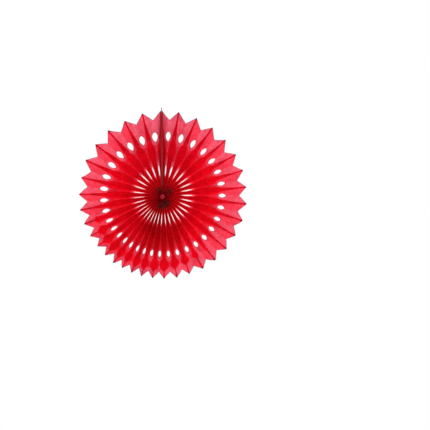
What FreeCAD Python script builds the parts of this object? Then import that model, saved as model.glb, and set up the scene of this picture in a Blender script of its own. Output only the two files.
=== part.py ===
import FreeCAD, Part
import math
import os
import Sketcher

# A hanging rosette of pleated tissue: one strip folded into pleats and drawn round into a full disc.
# The hub's axis lies along Y, the front faces -Y, and the rosette hangs in the plane Y = 0 from a
# loop of thread above its seam. The origin is the top of that loop, where a hook bears.
# Each pleat has a front fold (a ridge, towards -Y) and a rear fold (a valley, towards +Y).
# Angles run clockwise from the seam at the top, as seen from the front.

DIMENSIONS = (
    ("pleats", 34, "pleats round the full disc"),
    ("tip_radius", 150, "hub to the tip of a tooth, on a ridge"),
    ("tooth_depth", 13, "tip of a tooth to the notch beside it, on a valley"),
    ("notch_swing", 2, "how much deeper the notches are at the top, where the pleats stand open"),
    ("ridge_start", 12, "hub to the inner end of a ridge, at the rim of the funnel"),
    ("valley_start", 6, "hub to the inner end of a valley"),
    ("pinch_sag", 3.6, "how far the pinched centre hangs below the hub"),
    ("pinch_depth", 6, "thickness of the pressed folds at the pinched centre"),
    ("pleat_width", 25, "from fold to fold, in the flat strip"),
    ("tissue", 0.15, "thickness of the tissue, measured along the circle"),
    ("spread_once", 14.26, "degrees by which gravity opens the top and closes the bottom"),
    ("spread_once_at", 15.8, "degrees, where that opening has its middle"),
    ("spread_twice", 2.48, "degrees of the same that come twice a turn"),
    ("spread_twice_at", 105.2, "degrees, their place"),
    ("seam_pull", 3.5, "degrees by which the glued seam draws the first pleats to it"),
    ("hole_at", 106, "hub to the middle of an oval hole"),
    ("hole_length", 17, "of an oval hole, along the fold"),
    ("hole_width", 17.6, "of an oval hole, across the flat strip"),
    ("slit_at", 43.8, "hub to the middle of a slit"),
    ("slit_length", 20, "along the fold"),
    ("slit_width", 10.5, "across the flat strip"),
    ("pointedness", 1.6, "of both cuts: 1 draws an ellipse and 2 a lens with sharp ends"),
    ("card", 0.6, "thickness of an end card"),
    ("card_start", 17, "hub to the inner end of an end card"),
    ("seam_gap", 1, "between the two end cards"),
    ("strip_start", 30, "hub to the lower end of the adhesive strip"),
    ("strip_end", 110, "hub to the upper end of the adhesive strip"),
    ("strip_inset", 2, "front edge of the cards to the adhesive strip"),
    ("strip_width", 11, "of the adhesive strip, from front to back"),
    ("thread", 0.9, "diameter of the hanging thread"),
    ("thread_inset", 0.6, "front edge of the cards to the middle of the thread"),
    ("thread_bend", 14, "upper end of the adhesive strip to where the thread turns back to the middle"),
    ("ring_radius", 14, "hub to the binding thread inside the pleats"),
    ("binding", 0.7, "diameter of the binding thread"),
    ("knot", 7, "diameter of the binding thread's knot"),
    ("thread_lean", 1, "how far forward the thread comes on its way from the knot to the cards"),
    ("clearance", 0.15, "between a thread or its knot and what it passes or rests on"),
    ("loop_rise", 6, "top of the loop above the tip radius"),
    ("loop_width", 4.6, "across the loop, from the middle of the thread to its middle"),
    ("loop_knot", 2.6, "diameter of the knot under the loop"),
    ("loop_knot_below", 3.5, "tip radius to the middle of that knot"),
)

doc = FreeCAD.newDocument("rosette")
sheet = doc.addObject("Spreadsheet::Sheet", "Sizes")
for row, (alias, value, note) in enumerate(DIMENSIONS, start=1):
    sheet.set(f"A{row}", note)
    sheet.set(f"B{row}", str(value))
    sheet.setAlias(f"B{row}", alias)
doc.recompute()


def size(alias):
    return float(sheet.get(alias))


PLEATS = int(size("pleats"))
HALF_TISSUE = size("tissue") / 2
HALF_WIDTH = size("pleat_width") / 2
CARD_FACE = size("seam_gap") / 2 + size("card")
SEAM_SIDE = CARD_FACE + HALF_TISSUE
HALF_PINCH = size("pinch_depth") / 2
LAST = 2 * PLEATS
RADIAL_STEPS = 4
STEP_CROWDING = 1.2
HOLE_SIDES = 12
SLIT_SIDES = 8
BEND_SHARE = 0.45
FRONT = -1
REAR = 1


# Where the folds run

def fold_angle(fold):
    """Clockwise angle of a fold in degrees: even folds are ridges, odd ones valleys."""
    turn = math.tau * fold / LAST
    once = math.radians(size("spread_once_at"))
    twice = math.radians(size("spread_twice_at"))
    swing = size("spread_once") * (math.sin(turn - once) + math.sin(once))
    swing += size("spread_twice") * (math.sin(2 * turn + twice) - math.sin(twice))
    pleat = fold / 2
    pull = size("seam_pull") * pleat * math.exp(-pleat)
    return math.degrees(turn) + swing - pull


def outward(angle):
    return FreeCAD.Vector(math.sin(math.radians(angle)), 0, math.cos(math.radians(angle)))


def clockwise(angle):
    return FreeCAD.Vector(math.cos(math.radians(angle)), 0, -math.sin(math.radians(angle)))


def half_pitch(fold, radius):
    """Distance along the circle from a fold to its neighbours, taken as the mean of the two."""
    turn = math.radians(fold_angle(fold + 1) - fold_angle(fold - 1))
    return radius * turn / 2 - 2 * SEAM_SIDE / LAST


def step_between(fold, radius):
    """Distance along the circle from a fold to the next one."""
    turn = math.radians(fold_angle(fold + 1) - fold_angle(fold))
    return radius * turn - 2 * SEAM_SIDE / LAST


def fold_point(fold, radius):
    """A point on the middle of the tissue at a fold. The seam's thickness shifts each fold."""
    angle = fold_angle(fold)
    shift = SEAM_SIDE * (1 - 2 * fold / LAST)
    depth = 2 * HALF_WIDTH
    if 0 < fold < LAST:
        depth = math.sqrt(depth**2 - half_pitch(fold, radius) ** 2)
    side = FRONT if fold % 2 == 0 else REAR
    point = outward(angle) * radius + clockwise(angle) * shift
    return point + FreeCAD.Vector(0, side * depth / 2, 0)


def notch_radius(fold):
    swing = size("notch_swing") * math.cos(math.radians(fold_angle(fold)))
    return size("tip_radius") - size("tooth_depth") - swing


# The tissue's section at one distance from the hub

def inner_corner(fold, radius):
    """Where the two inner faces of a fold meet, since the folded paper is pressed flat there."""
    before = 0.0 if fold == 0 else step_between(fold - 1, radius)
    after = 0.0 if fold == LAST else step_between(fold, radius)
    share = 2 * HALF_TISSUE / (before + after)
    angle = fold_angle(fold)
    point = fold_point(fold, radius)
    inward = -2 * point.y * share
    sideways = HALF_TISSUE - before * share
    return point + FreeCAD.Vector(0, inward, 0) + clockwise(angle) * sideways


def outer_corners(fold, radius):
    point = fold_point(fold, radius)
    side = clockwise(fold_angle(fold)) * HALF_TISSUE
    return [point - side, point + side]


def free_edge(side, radius):
    """The rear edge of an end panel, which lies flat on its card."""
    middle = FreeCAD.Vector(side * SEAM_SIDE, HALF_WIDTH, radius)
    half = FreeCAD.Vector(HALF_TISSUE, 0, 0)
    return [middle - half, middle + half]


def fold_corners(fold, radius, front):
    """The points that a fold gives to the front or the rear face of the tissue."""
    is_ridge = fold % 2 == 0
    return outer_corners(fold, radius) if is_ridge == front else [inner_corner(fold, radius)]


def section(step):
    """Both faces' points at a step from the hub to the notches, one list for each fold."""
    share = (step / RADIAL_STEPS) ** STEP_CROWDING

    def along(fold):
        start = size("ridge_start") if fold % 2 == 0 else size("valley_start")
        return start + (notch_radius(fold) - start) * share

    edge = size("valley_start") + (notch_radius(0) - size("valley_start")) * share
    first = free_edge(1, edge)
    last = free_edge(-1, edge)
    front = [[first[0]]] + [fold_corners(f, along(f), True) for f in range(LAST + 1)] + [[last[1]]]
    rear = [[first[1]]] + [fold_corners(f, along(f), False) for f in range(LAST + 1)] + [[last[0]]]
    return front, rear


# The tissue as a closed skin of flat faces

def face(*points):
    return Part.Face(Part.makePolygon(list(points) + [points[0]]))


def skin(near, far):
    """Faces between two neighbouring sections of one side of the tissue."""
    faces = []
    for fold, (here, there) in enumerate(zip(near, far)):
        if len(here) == 2:
            faces.append(face(here[0], here[1], there[1], there[0]))
        if fold + 1 < len(near):
            a, b = here[-1], near[fold + 1][0]
            c, d = far[fold + 1][0], there[-1]
            if fold % 2 == 0:
                faces += [face(a, b, c), face(a, c, d)]
            else:
                faces += [face(a, b, d), face(b, c, d)]
    return faces


def pinched_centre(front, rear):
    """All the folds run in to one pressed place, as the binding thread draws them together."""
    front_point = FreeCAD.Vector(0, -HALF_PINCH, -size("pinch_sag"))
    rear_point = FreeCAD.Vector(0, HALF_PINCH, -size("pinch_sag"))
    front_line = [point for points in front for point in points]
    rear_line = [point for points in rear for point in points]
    faces = [face(front_point, a, b) for a, b in zip(front_line, front_line[1:] + front_line[:1])]
    faces += [face(rear_point, a, b) for a, b in zip(rear_line, rear_line[1:])]
    faces.append(face(rear_point, rear_line[-1], front_line[-1], front_line[0], rear_line[0]))
    return faces


def teeth(front, rear):
    """From the notches out to the tip of each ridge."""
    faces = []
    tip = size("tip_radius")
    for fold in range(0, LAST + 1, 2):
        left, right = outer_corners(fold, tip)
        back = inner_corner(fold, tip)
        at = fold + 1
        low_left, low_right = front[at]
        low_back = rear[at][0]
        faces.append(face(low_left, low_right, right, left))
        faces.append(face(left, right, back))
        before_front, before_rear = front[at - 1][-1], rear[at - 1][-1]
        after_front, after_rear = front[at + 1][0], rear[at + 1][0]
        faces.append(face(before_front, low_left, left))
        faces.append(face(before_rear, low_back, back))
        faces += [face(before_front, left, back), face(before_front, back, before_rear)]
        faces.append(face(after_front, low_right, right))
        faces.append(face(after_rear, low_back, back))
        faces += [face(after_front, right, back), face(after_front, back, after_rear)]
    for fold in range(2, LAST + 1, 2):
        faces.append(face(*(front[fold] + rear[fold])))
    return faces


def pleated_band():
    sections = [section(step) for step in range(RADIAL_STEPS + 1)]
    faces = []
    for (near_front, near_rear), (far_front, far_rear) in zip(sections, sections[1:]):
        faces += skin(near_front, far_front) + skin(near_rear, far_rear)
        for edge in (0, -1):
            a, b = near_front[edge][0], near_rear[edge][0]
            c, d = far_rear[edge][0], far_front[edge][0]
            faces.append(face(a, b, c, d))
    faces += pinched_centre(*sections[0]) + teeth(*sections[-1])
    shell = Part.makeShell(faces)
    shell.sewShape()
    solid = Part.makeSolid(shell)
    if solid.Volume < 0:
        solid.reverse()
    return solid


# The holes that a die cuts through the folded stack

def oval(middle, along, aside, sides):
    """A flat face with the outline of a cut, given its two half axes."""
    rim = []
    for corner in range(sides):
        turn = math.tau * (corner + 0.5) / sides
        reach = math.copysign(abs(math.sin(turn)) ** size("pointedness"), math.sin(turn))
        rim.append(middle + along * math.cos(turn) + aside * reach)
    return face(*rim)


def die(radius, length, width, sides, fold):
    """A prism with the outline of a cut, along the hub's axis over one valley."""
    across = width * half_pitch(fold, radius) / size("pleat_width")
    middle = fold_point(fold, radius)
    middle.y = -2 * HALF_WIDTH
    along = outward(fold_angle(fold)) * (length / 2)
    aside = clockwise(fold_angle(fold)) * (across / 2)
    return oval(middle, along, aside, sides).extrude(FreeCAD.Vector(0, 4 * HALF_WIDTH, 0))


def seam_die(radius, length, width, sides):
    """The same die where it goes through both end panels and cards, at their rear edges."""
    middle = FreeCAD.Vector(-CARD_FACE - 2 * size("tissue"), HALF_WIDTH, radius)
    along = FreeCAD.Vector(0, 0, length / 2)
    aside = FreeCAD.Vector(0, width / 2, 0)
    return oval(middle, along, aside, sides).extrude(FreeCAD.Vector(-2 * middle.x, 0, 0))


def needle_channel():
    """The needle holes of all the panels, as one square ring round the binding thread."""
    half = size("binding") / 2 + size("clearance")
    low = FreeCAD.Vector(0, -half, 0)
    axis = FreeCAD.Vector(0, 1, 0)
    outer = Part.makeCylinder(size("ring_radius") + half, 2 * half, low, axis)
    inner = Part.makeCylinder(size("ring_radius") - half, 2 * half, low, axis)
    return outer.cut(inner)


def die_cuts():
    hole = (size("hole_at"), size("hole_length"), size("hole_width"), HOLE_SIDES)
    slit = (size("slit_at"), size("slit_length"), size("slit_width"), SLIT_SIDES)
    cuts = [seam_die(*hole), seam_die(*slit), needle_channel()]
    for fold in range(1, LAST, 2):
        cuts += [die(*hole, fold), die(*slit, fold)]
    return Part.makeCompound(cuts)


# Helpers that make the document's objects

HUB_Z = "-(Sizes.tip_radius + Sizes.loop_rise - Sizes.thread)"


def feature(name, shape):
    made = doc.addObject("Part::Feature", name)
    made.Shape = shape
    return made


def named(item, label):
    """Give a sub-part its label and set it in the rosette's own frame."""
    item.Label = label
    item.setExpression("Placement.Base.z", HUB_Z)
    return item


def tube(points, diameter):
    """A round thread along straight runs joined by tangent arcs."""
    edges = []
    start = points[0]
    for before, corner, after in zip(points, points[1:], points[2:]):
        incoming, outgoing = corner - before, after - corner
        turn = incoming.getAngle(outgoing)
        reach = BEND_SHARE * min(incoming.Length, outgoing.Length)
        incoming.normalize()
        outgoing.normalize()
        first, last = corner - incoming * reach, corner + outgoing * reach
        bend = (outgoing - incoming).normalize()
        radius = reach / math.tan(turn / 2)
        middle = corner + bend * (radius / math.cos(turn / 2) - radius)
        edges.append(Part.LineSegment(start, first).toShape())
        edges.append(Part.Arc(first, middle, last).toShape())
        start = last
        print("thread bend radius", round(radius, 2))
    edges.append(Part.LineSegment(start, points[-1]).toShape())
    path = Part.Wire(edges)
    end = Part.Circle(points[0], points[1] - points[0], diameter / 2).toShape()
    made = path.makePipeShell([Part.Wire(end)], True, False)
    expected = math.pi * diameter**2 / 4 * path.Length
    print("thread length", round(path.Length, 1), "volume over expected", round(made.Volume / expected, 3))
    return made


# The pleated tissue

band = feature("pleated_band", pleated_band())
dies = feature("die_cuts", die_cuts())
tissue = doc.addObject("Part::Cut", "pleated_tissue")
tissue.Base = band
tissue.Tool = dies
named(tissue, "pleated_tissue")


# The two end cards, die-cut with the tissue and glued to its end panels

def card_outline():
    """Corners of a card as expressions of the sizes: forward and upward from the hub."""
    front = "-Sizes.pleat_width / 2"
    rear = "Sizes.pleat_width / 2"
    corners = [
        (front, "Sizes.card_start"),
        (front, "Sizes.tip_radius"),
        (rear, "Sizes.tip_radius - Sizes.tooth_depth - Sizes.notch_swing"),
    ]
    for name, sides in (("hole", HOLE_SIDES), ("slit", SLIT_SIDES)):
        middle = f"Sizes.{name}_at"
        corners.append((rear, f"{middle} + Sizes.{name}_length / 2 * cos({180 / sides} deg)"))
        for corner in range(sides // 2):
            turn = 360 * (corner + 0.5) / sides
            reach = f"Sizes.{name}_width / 2 * sin({turn} deg) ^ Sizes.pointedness"
            up = f"{middle} + Sizes.{name}_length / 2 * cos({turn} deg)"
            corners.append((f"{rear} - {reach}", up))
        corners.append((rear, f"{middle} - Sizes.{name}_length / 2 * cos({180 / sides} deg)"))
    corners.append((rear, "Sizes.card_start"))
    return corners


def end_card(label, place):
    body = doc.addObject("PartDesign::Body", label)
    sketch = body.newObject("Sketcher::SketchObject", label + "_outline")
    plane = [item for item in body.Origin.OriginFeatures if item.Role == "YZ_Plane"][0]
    sketch.AttachmentSupport = [(plane, "")]
    sketch.MapMode = "FlatFace"
    outline = card_outline()
    spots = []
    for across, up in outline:
        spots.append(FreeCAD.Vector(sheet.evalExpression(across), sheet.evalExpression(up), 0))
    for here, there in zip(spots, spots[1:] + spots[:1]):
        sketch.addGeometry(Part.LineSegment(here, there), False)
    count = len(spots)
    for line in range(count):
        sketch.addConstraint(Sketcher.Constraint("Coincident", line, 2, (line + 1) % count, 1))
    for line, (across, up) in enumerate(outline):
        spot = spots[line]
        for kind, value, expression in (("DistanceX", spot.x, across), ("DistanceY", spot.y, up)):
            index = sketch.addConstraint(Sketcher.Constraint(kind, -1, 1, line, 1, value))
            sketch.setExpression(f"Constraints[{index}]", expression)
    pad = body.newObject("PartDesign::Pad", label + "_board")
    pad.Profile = sketch
    pad.setExpression("Length", "Sizes.card")
    body.setExpression("Placement.Base.x", place)
    return named(body, label)


end_card("end_card_right", "Sizes.seam_gap / 2")
end_card("end_card_left", "-Sizes.seam_gap / 2 - Sizes.card")


# The double-sided strip that holds the two cards together

strip = doc.addObject("Part::Box", "adhesive_strip")
strip.setExpression("Length", "Sizes.seam_gap")
strip.setExpression("Width", "Sizes.strip_width")
strip.setExpression("Height", "Sizes.strip_end - Sizes.strip_start")
named(strip, "adhesive_strip")
strip.setExpression("Placement.Base.x", "-Sizes.seam_gap / 2")
strip.setExpression("Placement.Base.y", "-Sizes.pleat_width / 2 + Sizes.strip_inset")
strip.setExpression("Placement.Base.z", f"{HUB_Z} + Sizes.strip_start")


# The binding thread: a ring through every pleat, drawn tight, with its knot in the hub opening

def place(forward, up):
    """A point in the middle of the seam."""
    return FreeCAD.Vector(0, -forward, up)


FUNNEL_DOWN = size("ridge_start") - size("pinch_sag")
FUNNEL_SLOPE = math.hypot(FUNNEL_DOWN, HALF_WIDTH - HALF_PINCH) / FUNNEL_DOWN
KNOT_FORWARD = HALF_PINCH + (size("knot") / 2 + size("clearance")) * FUNNEL_SLOPE
KNOT = place(KNOT_FORWARD, -size("pinch_sag"))
ring = Part.makeTorus(size("ring_radius"), size("binding") / 2, place(0, 0), FreeCAD.Vector(0, 1, 0))
KNOT_REAR = KNOT_FORWARD - size("knot") / 4
tail = tube(
    [
        place(0, size("ring_radius")),
        place(KNOT_REAR, size("ring_radius") / 2),
        place(KNOT_REAR, -size("pinch_sag")),
    ],
    size("binding"),
)
knot = Part.makeSphere(size("knot") / 2, KNOT)
named(feature("binding_thread", ring.multiFuse([tail, knot])), "binding_thread")


# The hanging thread: from the hub's knot up the seam, then a knot and a small loop above the tip

RUN = HALF_WIDTH - size("thread_inset")
LOOP_TOP = size("tip_radius") + size("loop_rise") - size("thread") / 2
HALF_LOOP = size("loop_width") / 2
LOOP_FOOT = size("tip_radius") - size("loop_knot_below")
knot_top = KNOT.z + size("knot") / 2 + size("clearance")
rise = tube(
    [
        place(KNOT_FORWARD, knot_top),
        place(KNOT_FORWARD + size("thread_lean"), size("card_start") / 2),
        place(RUN, size("card_start")),
        place(RUN, size("strip_end") + size("thread_bend")),
        place(0, LOOP_FOOT),
    ],
    size("thread"),
)
loop = tube(
    [
        place(size("thread"), LOOP_FOOT),
        place(HALF_LOOP, (LOOP_FOOT + LOOP_TOP) / 2),
        place(HALF_LOOP, LOOP_TOP),
        place(-HALF_LOOP, LOOP_TOP),
        place(-HALF_LOOP, (LOOP_FOOT + LOOP_TOP) / 2),
        place(-size("thread"), LOOP_FOOT),
    ],
    size("thread"),
)
loop_knot = Part.makeSphere(size("loop_knot") / 2, place(0, LOOP_FOOT))
named(feature("hanging_thread", loop_knot.multiFuse([rise, loop])), "hanging_thread")

NODES = (
    "pleated_tissue",
    "end_card_left",
    "end_card_right",
    "adhesive_strip",
    "binding_thread",
    "hanging_thread",
)

doc.recompute()
for item in doc.Objects:
    if "Invalid" in item.State or "Error" in item.State:
        raise RuntimeError(f"{item.Label} failed: {item.State}")
os.makedirs("parts", exist_ok=True)
for label in NODES:
    made = doc.getObjectsByLabel(label)[0]
    if made.Shape.isNull() or not made.Shape.isValid() or len(made.Shape.Solids) != 1:
        raise RuntimeError(f"{label} is not one valid solid")
for label in NODES:
    made = doc.getObjectsByLabel(label)[0]
    made.Shape.exportStep(os.path.join("parts", label + ".step"))
    box = made.Shape.BoundBox
    low = [round(value, 2) for value in (box.XMin, box.YMin, box.ZMin)]
    high = [round(value, 2) for value in (box.XMax, box.YMax, box.ZMax)]
    print(label, "volume", round(made.Shape.Volume, 1), "from", low, "to", high)
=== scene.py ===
import math

import bmesh
import bpy
import numpy as np
from mathutils import Matrix, Vector


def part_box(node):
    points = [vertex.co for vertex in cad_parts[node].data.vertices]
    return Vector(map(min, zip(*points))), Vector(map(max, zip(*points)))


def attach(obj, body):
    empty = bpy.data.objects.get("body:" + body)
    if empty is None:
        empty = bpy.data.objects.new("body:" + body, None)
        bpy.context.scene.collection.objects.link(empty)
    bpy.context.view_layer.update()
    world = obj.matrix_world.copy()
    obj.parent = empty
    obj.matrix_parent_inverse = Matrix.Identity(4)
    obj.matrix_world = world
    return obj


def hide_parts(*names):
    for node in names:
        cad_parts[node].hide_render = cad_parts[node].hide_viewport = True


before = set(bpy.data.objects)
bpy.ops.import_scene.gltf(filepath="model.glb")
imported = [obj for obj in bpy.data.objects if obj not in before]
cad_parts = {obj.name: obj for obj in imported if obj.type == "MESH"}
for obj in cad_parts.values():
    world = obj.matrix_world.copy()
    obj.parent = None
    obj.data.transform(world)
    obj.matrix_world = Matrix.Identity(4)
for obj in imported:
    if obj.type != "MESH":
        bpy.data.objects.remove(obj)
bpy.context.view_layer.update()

# A hanging rosette of pleated tissue, seen square-on from the front, which faces -Y.
# Lengths are in metres. Angles run clockwise from the seam at the top, as seen from the front.

MM = 0.001
PLEATS = 34
LAST = 2 * PLEATS
PLEAT_WIDTH = 25 * MM
TIP_RADIUS = 150 * MM
NOTCH_RADIUS = TIP_RADIUS - 13 * MM
NOTCH_SWING = 2 * MM

# The pleats start near the hub, where the tissue is pinched together.
RIDGE_START = 12 * MM
VALLEY_START = 6 * MM
PINCH_SAG = 3.6 * MM
HALF_PINCH = 3 * MM

# The two end panels stand apart at the seam, by two end cards and the strip between them.
SEAM_GAP = 1 * MM
CARD = 0.6 * MM
CAD_TISSUE = 0.15 * MM
SEAM_SIDE = SEAM_GAP / 2 + CARD + CAD_TISSUE / 2

# The die-cut holes near the rim and the slits near the hub, with their sizes in the flat strip.
HOLE_AT = 106 * MM
HOLE_LENGTH = 17 * MM
HOLE_WIDTH = 17.6 * MM
SLIT_AT = 43.8 * MM
SLIT_LENGTH = 20 * MM
SLIT_WIDTH = 10.5 * MM
POINTEDNESS = 1.6

# The pleats stand wider at the top than at the bottom: their angles leave an even spacing by two
# sine waves, with sizes in degrees, and the first few are drawn back to the seam.
SPREAD_ONCE = 14.26
SPREAD_ONCE_AT = math.radians(15.8)
SPREAD_TWICE = 2.48
SPREAD_TWICE_AT = math.radians(105.2)
SEAM_PULL = 3.5

# The hub lies in the middle of the ring of binding thread.
ring_low, ring_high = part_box("binding_thread")
HUB = Vector((0, 0, (ring_low[2] + ring_high[2]) / 2))


# Where the folds run

def fold_angle(fold):
    """Clockwise angle of a fold in radians: even folds are ridges, odd ones valleys."""
    turn = math.tau * fold / LAST
    swing = SPREAD_ONCE * (np.sin(turn - SPREAD_ONCE_AT) + math.sin(SPREAD_ONCE_AT))
    swing += SPREAD_TWICE * (np.sin(2 * turn + SPREAD_TWICE_AT) - math.sin(SPREAD_TWICE_AT))
    pull = SEAM_PULL * fold / 2 * np.exp(-fold / 2)
    return turn + np.radians(swing - pull)


FOLDS = np.arange(LAST + 1)
IS_RIDGE = FOLDS % 2 == 0
IS_INNER = (FOLDS > 0) & (FOLDS < LAST)
ANGLES = fold_angle(FOLDS.astype(float))
OUTWARD = np.stack([np.sin(ANGLES), 0 * ANGLES, np.cos(ANGLES)], axis=1)
CLOCKWISE = np.stack([np.cos(ANGLES), 0 * ANGLES, -np.sin(ANGLES)], axis=1)
SEAM_SHIFT = SEAM_SIDE * (1 - 2 * FOLDS / LAST)
PITCH_TURN = np.gradient(ANGLES)

# The end panels stand apart where the end cards are, and come together nearer the hub.
CARD_START = 17 * MM
CLOSED_UNDER = 16.5 * MM
CLOSED_SHARE = 0.15


# The holes and slits differ with how the pleats stand round the disc. A swing is a mean share, how
# far it goes up and down, and the angle where it is largest. A swell is the angle and the spread
# of a stretch where a cut is wider or narrower, and by what share. Angles are in degrees.

HOLE_LENGTH_SWING = (0.83, 0.17, -20)
HOLE_WIDTH_SWING = (0.95, 0.08, -120)
HOLE_SWELLS = ((-8, 28, 0.28), (-137, 32, -0.18), (42, 24, -0.08))
SLIT_SHARE = 0.9
SLIT_SWELL = (-113, 38, -0.38)
WIDE_SLITS = [3, 51]
WIDE_SHARE = 1.4
NARROW_SLITS = [5, 9, 53]
NARROW_SHARE = 0.72
HOLES_OUTWARD = 0.4 * MM
HOLES_INWARD = 2 * MM
HOLES_INWARD_AT = (-22, 26)


def peak(middle, spread):
    """One at an angle, fading to nothing on both sides of it."""
    turn = ANGLES - math.radians(middle)
    turn = np.arctan2(np.sin(turn), np.cos(turn))
    return np.exp(-((turn / math.radians(spread)) ** 2))


def swung(mean, swing, most_at):
    """A share that goes up and down once round the disc."""
    return mean + swing * np.cos(ANGLES - math.radians(most_at))


def swollen(*swells):
    return sum(share * peak(middle, spread) for middle, spread, share in swells)


HOLE_LENGTHS = HOLE_LENGTH * swung(*HOLE_LENGTH_SWING)
HOLE_WIDTHS = HOLE_WIDTH * (swung(*HOLE_WIDTH_SWING) + swollen(*HOLE_SWELLS))
HOLES_AT = HOLE_AT + HOLES_OUTWARD - HOLES_INWARD * peak(*HOLES_INWARD_AT)
SLIT_WIDTHS = SLIT_WIDTH * (SLIT_SHARE + swollen(SLIT_SWELL))
SLIT_WIDTHS[WIDE_SLITS] *= WIDE_SHARE
SLIT_WIDTHS[NARROW_SLITS] *= NARROW_SHARE


# Small unevenness

chance = np.random.default_rng(34)


def chance_waves(count, waves, strength):
    """For each of count lines, the sum of a few sine waves with sizes and places by chance."""
    sizes = chance.normal(0, strength, (count, waves))
    places = chance.uniform(0, math.tau, (count, waves))

    def at(share):
        turns = math.tau * (np.arange(waves) + 0.5) * share[:, None]
        return (sizes * np.sin(turns + places)).sum(axis=1)

    return at


WANDER_SIDE = chance_waves(LAST + 1, 3, 0.16 * MM)
WANDER_DEPTH = chance_waves(LAST + 1, 3, 0.22 * MM)
TIP_CHANCE = chance.normal(0, 0.55 * MM, LAST + 1) * IS_INNER
NOTCH_CHANCE = chance.normal(0, 0.4 * MM, LAST + 1) * IS_INNER


def pitches(radius):
    """Distance along the circle from each fold to the one before and to the one after."""
    steps = radius[1:] * np.diff(ANGLES) - 2 * SEAM_SIDE / LAST
    steps = np.maximum(steps, 0)
    return np.append(0, steps), np.append(steps, 0)


def seam_opening(radius):
    """How far the two end panels stand apart, as a share of their distance at the cards."""
    share = np.clip((radius - CLOSED_UNDER) / (CARD_START - CLOSED_UNDER), 0, 1)
    return CLOSED_SHARE + (1 - CLOSED_SHARE) * share


def fold_points(radius):
    """A point of every fold at the given radius of each, on the middle of the tissue."""
    before, after = pitches(radius)
    half_pitch = (before + after) / 2 * IS_INNER
    depth = np.sqrt(PLEAT_WIDTH**2 - half_pitch**2)
    shift = SEAM_SHIFT * seam_opening(radius)
    points = OUTWARD * radius[:, None] + CLOCKWISE * shift[:, None]
    points[:, 1] += np.where(IS_RIDGE, -0.5, 0.5) * depth
    share = radius / TIP_RADIUS
    fade = share**2 * IS_INNER
    points += CLOCKWISE * (WANDER_SIDE(share) * fade)[:, None]
    points[:, 1] += WANDER_DEPTH(share) * fade
    return points


# The rows of the tissue's mesh, from the hub out to the cut teeth. The last value of a row
# is that of the free edges at the seam.

TISSUE = 0.09 * MM
THIN_UNDER = 30 * MM
COLUMNS = 8
COLUMN_CROWDING = 1.35
START_ROWS = 5
SLIT_ROWS = 10
BETWEEN_ROWS = 8
HOLE_ROWS = 16
RIM_ROWS = 8
PINCH_ROWS = 5
FREE = LAST + 1


def cut_aside(turn):
    """How far a cut reaches aside, as a share, for a turn of zero to pi from end to end."""
    return np.maximum(0, 1 - np.cos(turn) ** 2) ** (POINTEDNESS / 2)


def cut_rows(at, lengths, widths, count):
    """Rows over a hole or slit, each with the share of the panel that the cut takes there."""
    rows = []
    for turn in np.linspace(0, math.pi, count + 1):
        half_width = widths / 2 * cut_aside(turn)
        rows.append((at - lengths / 2 * math.cos(turn), half_width / PLEAT_WIDTH))
    return rows


def between_rows(near, far, shares):
    return [(near + (far - near) * share, 0 * near) for share in shares]


def strip_rows():
    """Radii of every fold and the share that is cut away, for each row from the hub outward."""
    start = np.append(np.where(IS_RIDGE, RIDGE_START, VALLEY_START), VALLEY_START)
    notches = NOTCH_RADIUS - NOTCH_SWING * np.cos(ANGLES) + NOTCH_CHANCE
    end = np.append(np.where(IS_RIDGE, TIP_RADIUS + TIP_CHANCE, notches), NOTCH_RADIUS - NOTCH_SWING)
    every = np.ones(LAST + 2)
    slit_widths = np.append(SLIT_WIDTHS, SLIT_WIDTHS[0])
    slit = cut_rows(SLIT_AT, SLIT_LENGTH * every, slit_widths, SLIT_ROWS)
    holes = (np.append(each, each[0]) for each in (HOLES_AT, HOLE_LENGTHS, HOLE_WIDTHS))
    hole = cut_rows(*holes, HOLE_ROWS)
    inside = between_rows(start, slit[0][0], np.arange(START_ROWS) / START_ROWS)
    middle = between_rows(slit[-1][0], hole[0][0], np.arange(1, BETWEEN_ROWS) / BETWEEN_ROWS)
    rim_shares = np.sin(np.linspace(0, math.pi / 2, RIM_ROWS + 1))[1:]
    return inside + slit + middle + hole + between_rows(hole[-1][0], end, rim_shares)


ROWS, CUT_SHARES = zip(*strip_rows())
IS_CUT = [shares.max() > 0 for shares in CUT_SHARES]
THICKNESS = [TISSUE * min(1, radii.min() / THIN_UNDER) for radii in ROWS]


# The folds' lines: inside each fold both faces meet, and outside it they stay a thickness apart

def corner_lines(radii, thickness):
    """For every fold the point inside it and the two outside it, counterclockwise first."""
    points = fold_points(radii[:FREE])
    before, after = pitches(radii[:FREE])
    share = thickness / np.maximum(before + after, thickness)
    inner = points + CLOCKWISE * (thickness / 2 - before * share)[:, None]
    inner[:, 1] -= 2 * points[:, 1] * share
    aside = CLOCKWISE * thickness / 2
    return inner, points - aside, points + aside


CORNERS = [corner_lines(radii, thickness) for radii, thickness in zip(ROWS, THICKNESS)]


# The place of each point in the flat strip, which the tissue's material uses

PLACE_NAMES = ("across", "reach", "openness", "edge")
HOLE_TURNS = np.linspace(0, math.pi, 61)
HOLE_ALONG = np.cos(HOLE_TURNS)
HOLE_ASIDE = cut_aside(HOLE_TURNS)


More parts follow.
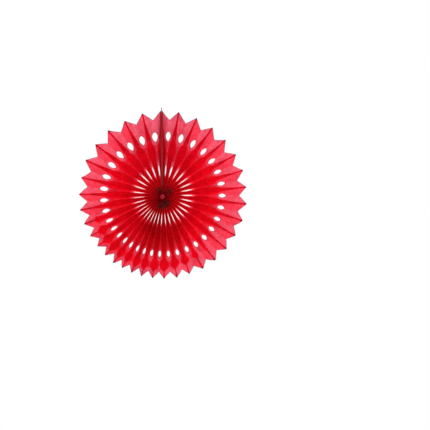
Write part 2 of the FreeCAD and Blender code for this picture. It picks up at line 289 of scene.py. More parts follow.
def strip_places(across, radius, turn, fold, notch, tip):
    """Share of the way from the valley to the ridge, radius, how far the pleat stands open as a
    share of its width, and distance in the flat strip to the cut edge of a hole or a tooth."""
    across, radius = np.broadcast_arrays(across, radius)
    spots = np.stack([across * PLEAT_WIDTH, radius], axis=-1)
    outline = np.stack([HOLE_WIDTHS[fold] / 2 * HOLE_ASIDE,
                        HOLES_AT[fold] + HOLE_LENGTHS[fold] / 2 * HOLE_ALONG], axis=1)
    to_hole = np.linalg.norm(spots[..., None, :] - outline, axis=-1).min(axis=-1)
    slope = PLEAT_WIDTH / math.hypot(PLEAT_WIDTH, tip - notch)
    to_tooth = (notch + (tip - notch) * across - radius) * slope
    openness = turn * radius / PLEAT_WIDTH
    return np.stack([across, radius, openness, np.minimum(to_hole, to_tooth)], axis=-1)


# The panels between the folds

BOW_WAVES = 3
BOW = chance.normal(0, 0.5 * MM, (LAST, BOW_WAVES))
BOW_AT = chance.uniform(0, math.tau, (LAST, BOW_WAVES))
RIPPLE_TURNS = (5, 8)
RIPPLE_WAVES = len(RIPPLE_TURNS)
RIPPLE_SLANT = 9
RIPPLE = chance.normal(0, 0.12 * MM, (LAST, RIPPLE_WAVES))
RIPPLE_AT = chance.uniform(0, math.tau, (LAST, RIPPLE_WAVES))


def relief(number, across, radius):
    """How far a panel leaves its plane, in long bows and short slanting ripples. It is nothing at
    the folds."""
    share = radius / TIP_RADIUS
    bow = 0 * across
    for wave in range(BOW_WAVES):
        turns = math.pi * (wave + 1) * share + BOW_AT[number, wave]
        bow += BOW[number, wave] / (wave + 1) * np.sin(turns)
    for wave in range(RIPPLE_WAVES):
        turns = math.tau * RIPPLE_TURNS[wave] * share + RIPPLE_SLANT * across
        bow += RIPPLE[number, wave] * np.sin(turns + RIPPLE_AT[number, wave])
    return bow * np.sin(math.pi * across) * share**2


def panel_grid(number):
    """Points of a panel's front and rear faces by rows and columns, and each point's place in the
    flat strip. Panel -1 lies on the right end card and panel LAST on the left one."""
    seam = {-1: 1, LAST: -1}.get(number, 0)
    ridge = number + number % 2
    valley = 2 * number + 1 - ridge
    side = 1 if ridge > valley else -1
    tip = ROWS[-1][ridge]
    steps = np.linspace(0, 1, COLUMNS + 1) ** COLUMN_CROWDING
    fronts, rears, places = [], [], []
    hinge = FREE if seam else valley
    for radii, cuts, thickness, (inner, before, after) in zip(ROWS, CUT_SHARES, THICKNESS, CORNERS):
        if seam:
            reach = radii[FREE]
            middle = np.array([seam * SEAM_SIDE * seam_opening(reach), PLEAT_WIDTH / 2, reach])
            aside = np.array([side * thickness / 2, 0, 0])
            front_start, rear_start = middle - aside, middle + aside
        else:
            reach = radii[valley]
            front_start = inner[valley]
            rear_start = after[valley] if side > 0 else before[valley]
        front_end = before[ridge] if side > 0 else after[ridge]
        rear_end = inner[ridge]
        across = cuts[hinge] + (1 - cuts[hinge]) * steps
        radius = reach + (radii[ridge] - reach) * across
        share = across[:, None]
        normal = np.cross(front_end - front_start, OUTWARD[ridge])
        normal /= np.linalg.norm(normal)
        bow = 0 if seam else relief(number, across, radius)[:, None] * normal
        fronts.append(front_start + (front_end - front_start) * share + bow)
        rears.append(rear_start + (rear_end - rear_start) * share + bow)
        turn = PITCH_TURN[ridge]
        if not seam:
            turn = PITCH_TURN[valley] + (turn - PITCH_TURN[valley]) * across
        fold = ridge if seam else valley
        places.append(strip_places(across, radius, turn, fold, ROWS[-1][hinge], tip))
    return np.array(fronts), np.array(rears), np.array(places)


# A mesh made of loose quads, whose corners are welded where they meet

WELD = 0.0002 * MM


class Skin:
    def __init__(self):
        self.corners = []
        self.places = []

    def quads(self, corners, places):
        """Adds quads, given as four arrays of corners in order, with the places in the strip."""
        self.corners.append(np.stack([c.reshape(-1, 3) for c in corners], axis=1))
        self.places.append(np.stack([p.reshape(-1, len(PLACE_NAMES)) for p in places], axis=1))

    def grid(self, points, places):
        def ring(a):
            return a[:-1, :-1], a[:-1, 1:], a[1:, 1:], a[1:, :-1]

        self.quads(ring(points), ring(places))

    def band(self, near, far, places):
        """A strip of quads between two lines of points that have the same places."""
        self.grid(np.stack([near, far]), np.stack([places, places]))

    def mesh(self, name):
        corners = np.concatenate(self.corners).reshape(-1, 3)
        places = np.concatenate(self.places).reshape(-1, len(PLACE_NAMES))
        keys = np.round(corners / WELD).astype(np.int64)
        _, first, index = np.unique(keys, axis=0, return_index=True, return_inverse=True)
        faces = []
        for quad in index.reshape(-1, 4).tolist():
            face = list(dict.fromkeys(quad))
            if len(face) > 2:
                faces.append(face)
        made = bpy.data.meshes.new(name)
        made.from_pydata((corners[first] + np.array(HUB)).tolist(), [], faces)
        for column, label in enumerate(PLACE_NAMES):
            layer = made.attributes.new(label, "FLOAT", "POINT")
            layer.data.foreach_set("value", places[first][:, column].astype(np.float32))
        return made


def tissue_mesh():
    skin = Skin()
    grids = {number: panel_grid(number) for number in range(-1, LAST + 1)}
    pinch = np.linspace(0, 1, PINCH_ROWS + 1)[:, None, None]
    front_point = np.array([0, -HALF_PINCH, -PINCH_SAG])
    rear_point = np.array([0, HALF_PINCH, -PINCH_SAG])

    def pinched(line, places, point):
        """Draws a line of points of the first row in to the pressed centre."""
        rows = line[None] + (point - line[None]) * pinch
        skin.grid(rows, np.repeat(places[None], PINCH_ROWS + 1, axis=0))

    for number, (front, rear, places) in grids.items():
        skin.grid(front, places)
        skin.grid(rear, places)
        skin.band(front[-1], rear[-1], places[-1])
        pinched(front[0], places[0], front_point)
        pinched(rear[0], places[0], rear_point)
        is_free = number in (-1, LAST)
        for row, (here, further) in enumerate(zip(IS_CUT, IS_CUT[1:])):
            if is_free or here or further:
                rows = slice(row, row + 2)
                skin.band(front[rows, 0], rear[rows, 0], places[rows, 0])

    open_rows = [not (here or further) for here, further in zip(IS_CUT, IS_CUT[1:])]
    lines = [np.array([corners[kind] for corners in CORNERS]) for kind in range(3)]
    for fold in range(LAST + 1):
        inner, before, after = (line[:, fold] for line in lines)
        is_valley = fold % 2 == 1
        reach = np.array([radii[fold] for radii in ROWS])
        notch, tip = (reach[-1], TIP_RADIUS) if is_valley else (NOTCH_RADIUS, reach[-1])
        places = strip_places(float(not is_valley), reach, PITCH_TURN[fold], fold, notch, tip)
        for row, is_open in enumerate(open_rows):
            if is_open or not is_valley:
                rows = slice(row, row + 2)
                skin.band(before[rows], after[rows], places[rows])
        point = rear_point if is_valley else front_point
        pinched(np.stack([before[0], after[0]]), np.stack([places[0]] * 2), point)
        ends = [len(ROWS) - 1]
        if is_valley:
            ends += [row for row in range(1, len(ROWS) - 1) if open_rows[row - 1] != open_rows[row]]
        for row in ends:
            corner = [before[row], after[row], inner[row], inner[row]]
            skin.quads([np.array([c]) for c in corner], [places[row][None]] * 4)

    right_front, right_rear, right_places = (grid[0, 0] for grid in grids[-1])
    left_front, left_rear, _ = (grid[0, 0] for grid in grids[LAST])
    edge = np.stack([right_places] * 2)
    pinched(np.stack([left_front, right_front]), edge, front_point)
    pinched(np.stack([left_rear, right_rear]), edge, rear_point)
    skin.band(np.stack([left_front, right_front]), np.stack([left_rear, right_rear]), edge)
    return skin.mesh("tissue_strip")


def face_outward(mesh):
    """Turns every face of a closed mesh outward."""
    work = bmesh.new()
    work.from_mesh(mesh)
    bmesh.ops.recalc_face_normals(work, faces=work.faces)
    work.to_mesh(mesh)
    work.free()


def piece(mesh, slot, material, *nodes):
    """Puts a mesh in the scene as a piece of the object that stands for CAD nodes."""
    made = bpy.data.objects.new(mesh.name, mesh)
    bpy.context.collection.objects.link(made)
    made.data.materials.append(material)
    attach(made, "root")
    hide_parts(*nodes)


# Materials

class Shader:
    """The nodes of a material or of the world. A socket takes a value or another node's output."""

    def __init__(self, owner):
        owner.use_nodes = True
        self.owner = owner
        self.tree = owner.node_tree
        self.tree.nodes.clear()

    def add(self, kind, sockets=(), **settings):
        node = self.tree.nodes.new("ShaderNode" + kind)
        for name, value in settings.items():
            setattr(node, name, value)
        for name, value in dict(sockets).items():
            if isinstance(value, bpy.types.NodeSocket):
                self.tree.links.new(value, node.inputs[name])
            else:
                node.inputs[name].default_value = value
        return node

    def output(self, shader):
        self.add("OutputMaterial", {"Surface": shader})
        return self.owner

    def place(self):
        return self.add("TexCoord").outputs["Object"]

    def attribute(self, name):
        return self.add("Attribute", attribute_name=name, attribute_type="GEOMETRY").outputs["Fac"]

    def noise(self, scale, detail=3, roughness=0.6, vector=None):
        vector = self.place() if vector is None else vector
        node = self.add("TexNoise", {"Vector": vector, "Scale": scale, "Detail": detail,
                                     "Roughness": roughness})
        return node.outputs["Fac"]

    def varied(self, low, high, *noise, vector=None, spread=0.2):
        """Noise stretched so that it goes from low to high."""
        return self.mapped(self.noise(*noise, vector=vector), 0.5 - spread, 0.5 + spread, low, high)

    def mapped(self, value, low, high, to_low=0.0, to_high=1.0, kind="LINEAR"):
        """Goes from to_low at low to to_high at high."""
        node = self.add("MapRange", {"Value": value, "From Min": low, "From Max": high,
                                     "To Min": to_low, "To Max": to_high}, interpolation_type=kind)
        return node.outputs["Result"]

    def smooth(self, *values):
        """Goes as mapped does, with soft ends."""
        return self.mapped(*values, kind="SMOOTHSTEP")

    def math(self, operation, result, *values):
        """The result of an operation with each value in turn."""
        for value in values:
            result = self.add("Math", {0: result, 1: value}, operation=operation).outputs[0]
        return result

    def mixed(self, share, first, second, kind="MIX"):
        """Two colours mixed. Inputs 6 and 7 and output 2 are the node's sockets for colours."""
        sockets = {"Factor": share, 6: first, 7: second}
        return self.add("Mix", sockets, data_type="RGBA", blend_type=kind).outputs[2]

    def bumped(self, height, strength, distance):
        node = self.add("Bump", {"Height": height, "Strength": strength, "Distance": distance})
        return node.outputs["Normal"]

    def matt(self, colour, roughness, sockets=()):
        """The output of a plain matt surface."""
        sockets = {"Base Color": colour, "Roughness": roughness, **dict(sockets)}
        return self.output(self.add("BsdfPrincipled", sockets).outputs[0])


def new_shader(name, kind=Shader):
    return kind(bpy.data.materials.new(name))


# The tissue's own colour is a full red, as deeper in the pleats where the light has gone through
# several layers. Near the cut edges, along the valleys and past the slits a paler colour is painted
# in: painted light, where white light would come through a single layer. Dark patches round the hub
# are painted shade.

DEEP_PASSED = (0.95, 0.05, 0.13, 1)
DEEP_RETURNED = (0.85, 0.006, 0.026, 1)
# Colours of the painted light, mixed over the full red.
PAINTED_LIGHT_PASSED = (0.97, 0.46, 0.56, 1)
PAINTED_LIGHT_RETURNED = (0.94, 0.16, 0.25, 1)
PASSED_SHARE = 0.62
SLIT_PASSED_SHARE = 0.9
# Painted light is weaker where the front face looks down or the rear face up, as if lit from above.
DOWNWARD = (0.2, 0.05)
DOWNWARD_PAINTED_LIGHT = 0.56

# A noise is given by its lowest and highest value, its scale and, for some, its detail. The blots
# make the outlines of the places on the disc uneven. The crinkle has no range of values, only its
# scale, detail and roughness, and it is felt as a bump.
CLOUDS = (0.92, 1.04, 60, 2)
MOTTLE = (0.95, 1.03, 420, 4)
STREAKS = (0.86, 1.06, 1)
STREAK_SCALES = (7, 40, 60)
PATCHES = (0.6, 1.15, 170)
BLOTS = (-2 * MM, 2 * MM, 110, 1)
CRINKLE = (260, 5, 0.65)
CRINKLE_BUMP = (0.35, 0.4 * MM)

# Painted light beside the cut edges, where white light would come through a single layer. It is wider
# where the pleats stand open.
LIT_DEPTH = 9.2 * MM
LIT_INNER_SHARE = 0.5
LIT_FULL = (94 * MM, 124 * MM)
LIT_GAIN = 130 * MM
LIT_OPENNESS = 0.39
LIT_WANDER = (-2 * MM, 2 * MM, 90)
LIT_SOFTNESS = 2.2 * MM

# Painted light along the valleys. It is wider just inside the holes.
VALLEY_FULL = (70 * MM, 98 * MM)
VALLEY_PAINTED_LIGHT = (0.34, 0.6)
VALLEY_CORE = 0.04
VALLEY_HALF = 0.3
VALLEY_MORE = 0.4
UNDER_HOLE_FROM = (74 * MM, 97 * MM)
UNDER_HOLE_TO = (110 * MM, 102 * MM)

# Painted light past the outer ends of the slits. It reaches further on the crest of the disc.
SLIT_HALF = (0.45, 0.3)
SLIT_FULL_FROM = (28 * MM, 36 * MM)
SLIT_FULL_TO = SLIT_AT + 9 * MM
SLIT_NONE_FROM = SLIT_AT + 19 * MM
SLIT_NONE_FROM_CREST = SLIT_AT + 34 * MM
CREST_VALLEY = (0.9, 1.4)

# Painted shade along the ridges: full red without painted light, a tapering band that narrows on its
# way out to the tip.
WEDGE_REACH = (92 * MM, 138 * MM)
WEDGE_SIDE = (0.62, 0.92)
WEDGE_SOFT = (-0.05, 0.03)

# Places on the front of the disc, in millimetres right and up of the hub, with a radius in
# millimetres and the share of it that is the core. A patch of painted shade has its strength too.
# Where the painted light past the slits reaches further and is stronger along the valleys.
CREST = ((4, 72), 42, 0.3)
# Painted shade over the lower middle of the disc, darker and browner.
LOWER_SHADE = ((-4, -72), 52, 0.25)
# Painted shade over the top of the disc.
SHADED = ((0, 95), 95, 0.3)
# Round the hub the colour is a little browner and its mottle weaker.
HUB_PLACE = ((0, -3), 50, 0.5)
HUB_EVENNESS = 0.5
# Painted shade: dark brown patches round the hub, mostly under the knot.
HUB_SHADE_COLOUR = (0.50, 0.20, 0.18, 1)
HUB_SHADE_CORE = 0.2
HUB_SHADE_SPOTS = (
    ((-7, 8), 8, 0.45),
    ((12, 6.5), 9, 0.5),
    ((-2, -19), 9, 0.7),
    ((6, -16), 10, 0.7),
    ((-6, -22), 7, 0.6),
)

CUT_EDGE = (1.5 * MM, 0.3 * MM)
TIP_END = (TIP_RADIUS - 4.5 * MM, TIP_RADIUS - 1.2 * MM)
# Painted shade: darkens the ridges within the painted light.
RIDGE_SHADE_TINT = (0.88, 0.7, 0.8, 1)
CUT_TINT = (0.6, 0.66, 0.76, 1)
TIP_TINT = (0.6, 0.7, 0.78, 1)
# Tints of the painted shade over the lower middle and over the top of the disc.
LOWER_SHADE_TINT = (0.90, 0.82, 0.7, 1)
SHADED_TINT = (0.94, 0.95, 0.95, 1)
HUB_TINT = (0.985, 1.2, 0.95, 1)


class TissueShader(Shader):
    """The nodes of the tissue, by the place of each point in the flat strip and on the disc."""

    def __init__(self, owner):
        super().__init__(owner)
        places = (self.attribute(name) for name in PLACE_NAMES)
        self.across, self.reach, self.openness, self.edge = places
        self.blot = self.varied(*BLOTS)
        flat = self.add("VectorMath", {0: self.place(), 1: (1, 0, 1)}, operation="MULTIPLY")
        self.flat_place = flat.outputs[0]

    def near(self, spot, radius, core):
        """One in the core of a place on the front of the disc, fading to nothing at its radius."""
        right, up = spot
        centre = (right * MM, 0, HUB.z + up * MM)
        far = self.add("VectorMath", {0: self.flat_place, 1: centre}, operation="DISTANCE")
        far = self.math("ADD", far.outputs["Value"], self.blot)
        return self.smooth(far, radius * MM, radius * core * MM)

    def uneven(self):
        """Clouds, mottle and streaks that run along the pleats, as a factor."""
        places = enumerate(zip((self.across, self.reach, self.openness), STREAK_SCALES))
        scaled = {axis: self.math("MULTIPLY", place, scale) for axis, (place, scale) in places}
        streak = self.varied(*STREAKS, vector=self.add("CombineXYZ", scaled).outputs[0])
        return self.math("MULTIPLY", self.varied(*CLOUDS), self.varied(*MOTTLE), streak)

    def lit(self):
        """Painted light beside the cut edges."""
        above = self.math("MAXIMUM", self.math("SUBTRACT", self.openness, LIT_OPENNESS), 0.0)
        depth = self.smooth(self.reach, *LIT_FULL, LIT_DEPTH * LIT_INNER_SHARE, LIT_DEPTH)
        wander = self.varied(*LIT_WANDER)
        depth = self.math("ADD", self.math("MULTIPLY", above, LIT_GAIN), depth, wander)
        inside = self.math("SUBTRACT", depth, self.edge)
        return self.smooth(inside, -LIT_SOFTNESS, LIT_SOFTNESS)

    def at_valley(self, crest):
        """Painted light along the valleys."""
        under_hole = self.smooth(self.reach, *UNDER_HOLE_FROM, 0.0, VALLEY_MORE)
        under_hole = self.math("MULTIPLY", under_hole, self.smooth(self.reach, *UNDER_HOLE_TO))
        half = self.math("ADD", under_hole, VALLEY_HALF)
        return self.math("MULTIPLY", self.smooth(self.across, half, VALLEY_CORE),
                         self.smooth(self.reach, *VALLEY_FULL, *VALLEY_PAINTED_LIGHT),
                         self.mapped(crest, 0, 1, *CREST_VALLEY))

    def at_slit(self, crest):
        """Painted light past the outer ends of the slits."""
        end = self.mapped(crest, 0, 1, SLIT_NONE_FROM, SLIT_NONE_FROM_CREST)
        return self.math("MULTIPLY", self.smooth(self.across, *SLIT_HALF),
                         self.smooth(self.reach, end, SLIT_FULL_TO),
                         self.smooth(self.reach, *SLIT_FULL_FROM))

    def ridge_shade_wedge(self):
        """Painted shade along the ridges."""
        side = self.smooth(self.reach, *WEDGE_REACH, *WEDGE_SIDE)
        return self.smooth(self.math("SUBTRACT", self.across, side), *WEDGE_SOFT)

    def upward_light(self):
        """Painted light by how a face is turned, as if lit from above: less where the front face
        looks down, or the rear face up.
        """
        normal = self.add("NewGeometry").outputs["Normal"]
        split = self.add("SeparateXYZ", {0: normal}).outputs
        upward = self.math("MULTIPLY", split["Y"], split["Z"])
        return self.mapped(upward, *DOWNWARD, DOWNWARD_PAINTED_LIGHT, 1.0)

    # Painted shade: the dark patches round the hub.
    def painted_hub_shade(self):
        spots = (self.math("MULTIPLY", self.near(spot, radius, HUB_SHADE_CORE), strength)
                 for spot, radius, strength in HUB_SHADE_SPOTS)
        return self.math("MAXIMUM", 0.0, *spots)

    def tints(self, ridge, hub):
        """Shares with the colours that the tissue's own is multiplied by as far as they say."""
        return (
            (ridge, RIDGE_SHADE_TINT),
            (self.smooth(self.edge, *CUT_EDGE), CUT_TINT),
            (self.smooth(self.reach, *TIP_END), TIP_TINT),
            (self.near(*LOWER_SHADE), LOWER_SHADE_TINT),
            (self.near(*SHADED), SHADED_TINT),
            (hub, HUB_TINT),
        )


def tissue_material():
    shader = new_shader("red_tissue", TissueShader)
    crest = shader.near(*CREST)
    lit = shader.lit()
    at_slit = shader.at_slit(crest)
    # Painted shade along the ridges, within the painted light beside the cuts.
    ridge = shader.math("MULTIPLY", shader.ridge_shade_wedge(), lit)
    # The share of painted light: beside the cuts, along the valleys and past the slits, less on faces
    # that look down and on the ridges' painted shade.
    painted_light = shader.math("MAXIMUM", lit, shader.at_valley(crest), at_slit)
    painted_light = shader.math("MULTIPLY", painted_light, shader.upward_light(), shader.varied(*PATCHES),
                       shader.math("SUBTRACT", 1.0, ridge))
    hub = shader.near(*HUB_PLACE)
    evenness = shader.math("SUBTRACT", 1.0, shader.math("MULTIPLY", hub, HUB_EVENNESS))
    uneven = shader.uneven()
    painted_hub_shade = shader.painted_hub_shade()
    tints = shader.tints(ridge, hub)

    def coloured(deep, light):
        colour = shader.mixed(painted_light, deep, light)
        colour = shader.mixed(evenness, colour, uneven, "MULTIPLY")
        for share, tint in tints:
            colour = shader.mixed(share, colour, tint, "MULTIPLY")
        return shader.mixed(painted_hub_shade, colour, HUB_SHADE_COLOUR)

    normal = shader.bumped(shader.noise(*CRINKLE), *CRINKLE_BUMP)
    through = shader.add("BsdfTranslucent", {"Color": coloured(DEEP_PASSED, PAINTED_LIGHT_PASSED),
                                             "Normal": normal})
    back = shader.add("BsdfDiffuse", {"Color": coloured(DEEP_RETURNED, PAINTED_LIGHT_RETURNED),
                                      "Normal": normal})
    passed = shader.mapped(at_slit, 0, 1, PASSED_SHARE, SLIT_PASSED_SHARE)
    mix = shader.add("MixShader", {0: passed, 1: back.outputs[0], 2: through.outputs[0]})
    return shader.output(mix.outputs[0])


BOARD_COLOURS = ((0.26, 0.012, 0.016, 1), (0.40, 0.02, 0.024, 1))
TAPE_COLOURS = ((0.30, 0.16, 0.13, 1), (0.42, 0.26, 0.2, 1))
RED_COLOURS = ((0.34, 0.010, 0.026, 1), (0.52, 0.024, 0.056, 1))
DARK_COLOURS = ((0.045, 0.008, 0.008, 1), (0.11, 0.018, 0.016, 1))


def board_material():
    shader = new_shader("red_board")
    grain = shader.varied(0.0, 1.0, 900)
    normal = shader.bumped(grain, 0.3, 0.05 * MM)
    return shader.matt(shader.mixed(grain, *BOARD_COLOURS), 0.85, {"Normal": normal})


def tape_material():
    shader = new_shader("clear_tape")
    cloud = shader.varied(0.0, 1.0, 300, 2)
    return shader.matt(shader.mixed(cloud, *TAPE_COLOURS), 0.45)


def thread_material(name, colours):
    shader = new_shader(name)
    fibre = shader.varied(0.0, 1.0, 3500, 3, 0.7, spread=0.15)
    normal = shader.bumped(fibre, 0.4, 0.05 * MM)
    dull = {"Normal": normal, "Specular IOR Level": 0.15}
    return shader.matt(shader.mixed(fibre, *colours), 0.9, dull)


# The pleated tissue, the end cards and the strip between them

SHARP = math.radians(35)

tissue = tissue_mesh()
face_outward(tissue)
for polygon in tissue.polygons:
    polygon.use_smooth = True
tissue.set_sharp_from_angle(angle=SHARP)
piece(tissue, "tissue", tissue_material(), "pleated_tissue")


def finish_node(name, finish):
    """Gives a CAD node that stays a better material."""
    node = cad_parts[name]
    node.data.materials.clear()
    node.data.materials.append(finish)


board = board_material()
for card in ("end_card_left", "end_card_right"):
    finish_node(card, board)
finish_node("adhesive_strip", tape_material())


# The threads, each of three plies twisted round a core. Routes lie in the plane of the seam, as
# distances forward and up from the hub in millimetres. A layer of the knot has its depth, as a
# share of the thread's thickness, and its number of turns.

THREAD = 1.2 * MM
BINDING = 0.7 * MM
PLIES = 3
PLY_SHARE = 0.464
CORE_SHARE = 0.88
PLY_SIDES = 6
LAY_SHARE = 3.2
STEPS_PER_LAY = 10
BEND_SHARE = 0.45
BEND_STEPS = 10
RING_RADIUS = 14 * MM
RING_POINTS = 240
KNOT_AT = (8.2, -3.6)
KNOT_RADIUS = 4.3 * MM
KNOT_LAYERS = ((0.5, 18), (1.3, 15))
KNOT_POINTS = 60
KNOT_WAVER = 0.02
KNOT_ROCK = 0.25
KNOT_ROCK_TURNS = 5
LOOP_KNOT_RADIUS = 1.3 * MM
LOOP_KNOT_POINTS = 120
LOOP_FOOT = 146.5
TAIL = ((0, 14), (6.76, 7), (6.76, -1))
RISE = ((8.51, 0.05), (9.51, 8.5), (11.9, 17), (11.9, 124), (0, LOOP_FOOT))
LOOP = (
    (0.9, LOOP_FOOT),
    (2.3, 151.025),
    (2.3, 155.55),
    (-2.3, 155.55),
    (-2.3, 151.025),
    (-0.9, LOOP_FOOT),
)


def seam_spot(forward, up):
    return np.array([0, -forward * MM, up * MM])


def unit(vectors):
    return vectors / np.linalg.norm(vectors, axis=1)[:, None]


def rounded(corners):
    """A line of points through corners in the seam's plane, each bend drawn round."""
    spots = [seam_spot(*corner) for corner in corners]
    line = [spots[0]]
    for before, corner, after in zip(spots, spots[1:], spots[2:]):
        back, ahead = before - corner, after - corner
        lengths = np.linalg.norm(back), np.linalg.norm(ahead)
        reach = BEND_SHARE * min(lengths)
        first = corner + back * reach / lengths[0]
        last = corner + ahead * reach / lengths[1]
        for t in np.linspace(0, 1, BEND_STEPS):
            line.append(first * (1 - t) ** 2 + corner * 2 * t * (1 - t) + last * t**2)
    line.append(spots[-1])
    return np.array(line)


def evened(line, lay):
    """Points evenly along a line. The plies turn once in a lay, and it has a whole number of them."""
    steps = np.linalg.norm(np.diff(line, axis=0), axis=1)
    length = np.append(0, np.cumsum(steps))
    count = max(2, round(length[-1] / lay)) * STEPS_PER_LAY
    even = np.linspace(0, length[-1], count + 1)
    return np.stack([np.interp(even, length, line[:, axis]) for axis in range(3)], axis=1)


class Thread:
    """A mesh of twisted threads."""

    def __init__(self, name):
        self.name = name
        self.spots = []
        self.faces = []

    def tube(self, middles, aside, above, radius):
        """Adds a tube with flat ends along a line of middles."""
        turn = math.tau * np.arange(PLY_SIDES) / PLY_SIDES
        rim = aside[:, None] * np.cos(turn)[None, :, None]
        rim = rim + above[:, None] * np.sin(turn)[None, :, None]
        start = sum(len(each) for each in self.spots)
        self.spots.append((middles[:, None] + rim * radius).reshape(-1, 3))
        last = start + (len(middles) - 1) * PLY_SIDES
        for row in range(start, last, PLY_SIDES):
            for corner in range(PLY_SIDES):
                here, there = row + corner, row + (corner + 1) % PLY_SIDES
                self.faces.append((here, there, there + PLY_SIDES, here + PLY_SIDES))
        for end in (start, last):
            self.faces.append(tuple(range(end, end + PLY_SIDES)))

    def lay(self, line, diameter, side=None):
        """Adds a thread along a line. The side is a direction square to all of it, and without
        one the line is taken to run round a ball about its own middle."""
        points = evened(line, LAY_SHARE * diameter)
        ahead = unit(np.gradient(points, axis=0))
        if side is None:
            aside = unit(np.cross(ahead, points - line.mean(axis=0)))
        else:
            aside = np.broadcast_to(np.array(side, float), points.shape)
        above = np.cross(ahead, aside)
        turns = math.tau * np.arange(len(points))[:, None] / STEPS_PER_LAY
        ply_radius = diameter / 2 * PLY_SHARE
        for ply in range(PLIES):
            twist = turns + math.tau * ply / PLIES
            out = aside * np.cos(twist) + above * np.sin(twist)
            self.tube(points + out * (diameter / 2 - ply_radius), aside, above, ply_radius)
        self.tube(points, aside, above, diameter / 2 * CORE_SHARE)

    def mesh(self):
        made = bpy.data.meshes.new(self.name)
        spots = np.concatenate(self.spots) + np.array(HUB)
        made.from_pydata(spots.tolist(), [], self.faces)
        face_outward(made)
        for polygon in made.polygons:
            polygon.use_smooth = len(polygon.vertices) == 4
        return made


def wound_ball(middle, radius, turns):
    """A line wound round a ball. Its plane turns by half a turn in all, and rocks as it goes."""
    turn = np.linspace(0, math.tau * turns, KNOT_POINTS * turns)
    lean = turn / (2 * turns) + KNOT_WAVER * np.sin(3 * turn / turns)
    level = np.sin(turn)
    rock = KNOT_ROCK * np.sin(turn / KNOT_ROCK_TURNS)
    across = np.cos(turn) * np.cos(rock) - level * np.cos(lean) * np.sin(rock)
    along = np.cos(turn) * np.sin(rock) + level * np.cos(lean) * np.cos(rock)
    return middle + radius * np.stack([across, along, level * np.sin(lean)], axis=1)


def overhand(middle, radius):
    """The line of a small tight overhand knot."""
    turn = np.linspace(0, math.tau, LOOP_KNOT_POINTS)
    out = 2 + np.cos(3 * turn)
    line = np.stack([out * np.cos(2 * turn), np.sin(3 * turn), out * np.sin(2 * turn)], axis=1)
    return middle + radius / 3 * line


def binding_thread():
    """The ring through the pleats, its tail and the knot at the hub."""
    binding = Thread("binding_cotton")
    turn = np.linspace(0, math.tau, RING_POINTS)
    ring = np.stack([np.sin(turn), 0 * turn, np.cos(turn)], axis=1)
    binding.lay(RING_RADIUS * ring, BINDING, (0, 1, 0))
    binding.lay(rounded(TAIL), BINDING, (1, 0, 0))
    for depth, turns in KNOT_LAYERS:
        radius = KNOT_RADIUS - depth * BINDING
        binding.lay(wound_ball(seam_spot(*KNOT_AT), radius, turns), BINDING)
    return binding.mesh()


def hanging_thread():
    """The rise up the seam, the loop and the small knot under it."""
    hanging = Thread("hanging_cotton")
    hanging.lay(rounded(RISE), THREAD, (1, 0, 0))
    hanging.lay(rounded(LOOP), THREAD, (1, 0, 0))
    hanging.lay(overhand(seam_spot(0, LOOP_FOOT), LOOP_KNOT_RADIUS - THREAD / 2), THREAD)
    return hanging.mesh()


red_cotton = thread_material("red_cotton", RED_COLOURS)
piece(binding_thread(), "red_thread", red_cotton, "binding_thread")
dark_cotton = thread_material("dark_cotton", DARK_COLOURS)
piece(hanging_thread(), "dark_thread", dark_cotton, "hanging_thread")


# The camera: a long lens square-on to the hub, at the photograph's framing. The hub's place there
# and the radius to the tips are in pixels, and the photograph is a little turned.

FRAME_PIXELS = 430
HUB_PIXEL = (162.8, 194.8)
RADIUS_PIXELS = 83.7
PIXEL = TIP_RADIUS / RADIUS_PIXELS
ROLL = math.radians(0.8)
DISTANCE = 2.5
SENSOR_MM = 36


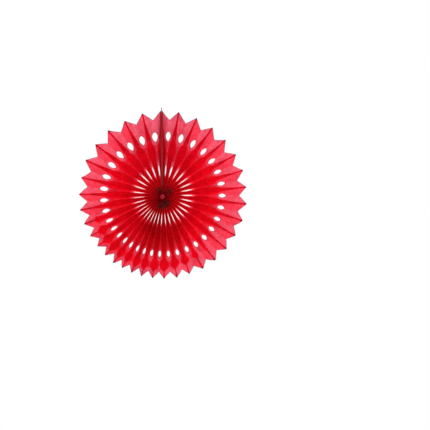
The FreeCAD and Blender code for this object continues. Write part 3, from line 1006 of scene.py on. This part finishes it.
def place_camera():
    data = bpy.data.cameras.new("camera")
    camera = bpy.data.objects.new("camera", data)
    bpy.context.collection.objects.link(camera)
    bpy.context.scene.camera = camera
    right = Vector((math.cos(ROLL), 0, -math.sin(ROLL)))
    up = Vector((math.sin(ROLL), 0, math.cos(ROLL)))
    back = Vector((0, -1, 0))
    aside, below = ((FRAME_PIXELS / 2 - pixel) * PIXEL for pixel in HUB_PIXEL)
    spot = HUB + right * aside - up * below + back * DISTANCE
    turned = Matrix((right, up, back)).transposed().to_4x4()
    camera.matrix_world = Matrix.Translation(spot) @ turned
    data.sensor_width = SENSOR_MM
    data.lens = SENSOR_MM * DISTANCE / (FRAME_PIXELS * PIXEL)
    data.clip_end = 100


place_camera()


# The studio: a pale floor well below, white surroundings and soft lamps

FLOOR_BELOW = 1.1
FLOOR_SIZE = 4.0
FLOOR_TONES = (0.86, 0.9, 6, 2)
SURROUND = 0.78
WHITE = (1, 1, 1, 1)
LAMP_SIZE = 1.6


def floor():
    shader = new_shader("pale_floor")
    bpy.ops.mesh.primitive_plane_add(size=FLOOR_SIZE, location=(0, 0, HUB.z - FLOOR_BELOW))
    made = bpy.context.object
    made.name = "floor"
    made.data.materials.append(shader.matt(shader.varied(*FLOOR_TONES), 0.7))


def surround():
    """Even light from all sides, which the camera and glossy surfaces see as white."""
    world = bpy.data.worlds.new("surround")
    bpy.context.scene.world = world
    shader = Shader(world)
    path = shader.add("LightPath").outputs
    seen = shader.math("MAXIMUM", path["Is Camera Ray"], path["Is Glossy Ray"])
    plain = shader.add("Background", {"Color": WHITE, "Strength": SURROUND})
    white = shader.add("Background", {"Color": WHITE, "Strength": 1.0})
    mix = shader.add("MixShader", {0: seen, 1: plain.outputs[0], 2: white.outputs[0]})
    shader.add("OutputWorld", {"Surface": mix.outputs[0]})


def lamp(name, spot, power):
    """A square soft lamp that faces the hub from a spot given from the hub."""
    data = bpy.data.lights.new(name, "AREA")
    data.shape = "SQUARE"
    data.size = LAMP_SIZE
    data.energy = power
    made = bpy.data.objects.new(name, data)
    bpy.context.collection.objects.link(made)
    made.location = HUB + Vector(spot)
    made.rotation_euler = (-Vector(spot)).to_track_quat("-Z", "Y").to_euler()
    made.visible_camera = False


floor()
surround()
lamp("rear_lamp", (0.0, 1.4, 0.6), 38)
lamp("front_lamp", (0.0, -1.4, 1.2), 14)

scene = bpy.context.scene
scene.view_settings.view_transform = "Standard"

# Light goes back and forth between the pleats many times before it is spent.
scene.cycles.max_bounces = 24
scene.cycles.diffuse_bounces = 16
scene.cycles.transmission_bounces = 24
